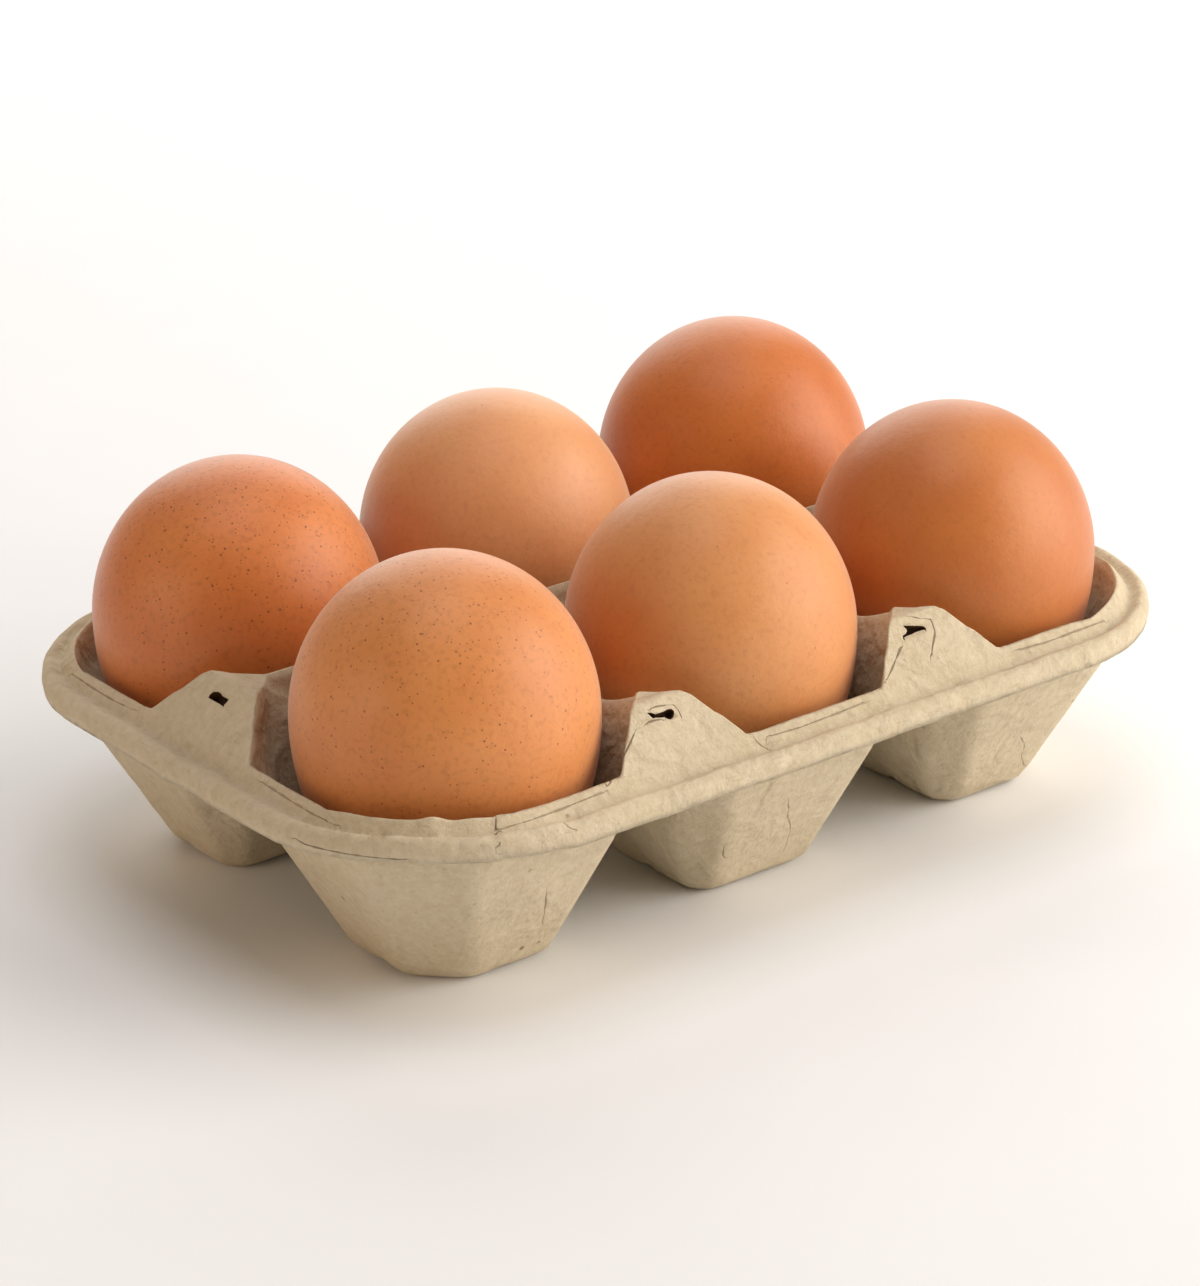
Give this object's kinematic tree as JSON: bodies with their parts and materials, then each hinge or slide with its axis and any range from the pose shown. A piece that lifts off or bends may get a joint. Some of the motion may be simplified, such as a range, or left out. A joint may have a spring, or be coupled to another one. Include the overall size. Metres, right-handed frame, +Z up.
{
  "type": "egg carton",
  "caption": "Lidless moulded-pulp egg tray: rows of flared square cups under one beaded rim, with pierced gables between them, each cup holding a hen's egg blunt end up.",
  "frame": {"origin": "middle of the tray's footprint, at the underside of the cups' feet", "axes": "+Z up, +X along the long rows of cups, -Y towards the front row"},
  "size_m": [0.1588, 0.1134, 0.0606],
  "materials": {
    "pulp": "matte",
    "shell_front_left": "satin",
    "shell_front_middle": "satin",
    "shell_front_right": "satin",
    "shell_back_left": "satin",
    "shell_back_middle": "satin",
    "shell_back_right": "satin"
  },
  "bodies": {
    "tray": {"pulp_tray": "pulp"},
    "front_left_egg": {"egg_front_left": "shell_front_left"},
    "front_middle_egg": {"egg_front_middle": "shell_front_middle"},
    "front_right_egg": {"egg_front_right": "shell_front_right"},
    "back_left_egg": {"egg_back_left": "shell_back_left"},
    "back_middle_egg": {"egg_back_middle": "shell_back_middle"},
    "back_right_egg": {"egg_back_right": "shell_back_right"}
  },
  "joints": [
    {"name": "front_left_lift", "type": "slide", "parent": "tray", "child": "front_left_egg", "axis": [0, 0, 1], "range_m": [0, 0.07]},
    {"name": "front_middle_lift", "type": "slide", "parent": "tray", "child": "front_middle_egg", "axis": [0, 0, 1], "range_m": [0, 0.07]},
    {"name": "front_right_lift", "type": "slide", "parent": "tray", "child": "front_right_egg", "axis": [0, 0, 1], "range_m": [0, 0.07]},
    {"name": "back_left_lift", "type": "slide", "parent": "tray", "child": "back_left_egg", "axis": [0, 0, 1], "range_m": [0, 0.07]},
    {"name": "back_middle_lift", "type": "slide", "parent": "tray", "child": "back_middle_egg", "axis": [0, 0, 1], "range_m": [0, 0.07]},
    {"name": "back_right_lift", "type": "slide", "parent": "tray", "child": "back_right_egg", "axis": [0, 0, 1], "range_m": [0, 0.07]}
  ]
}
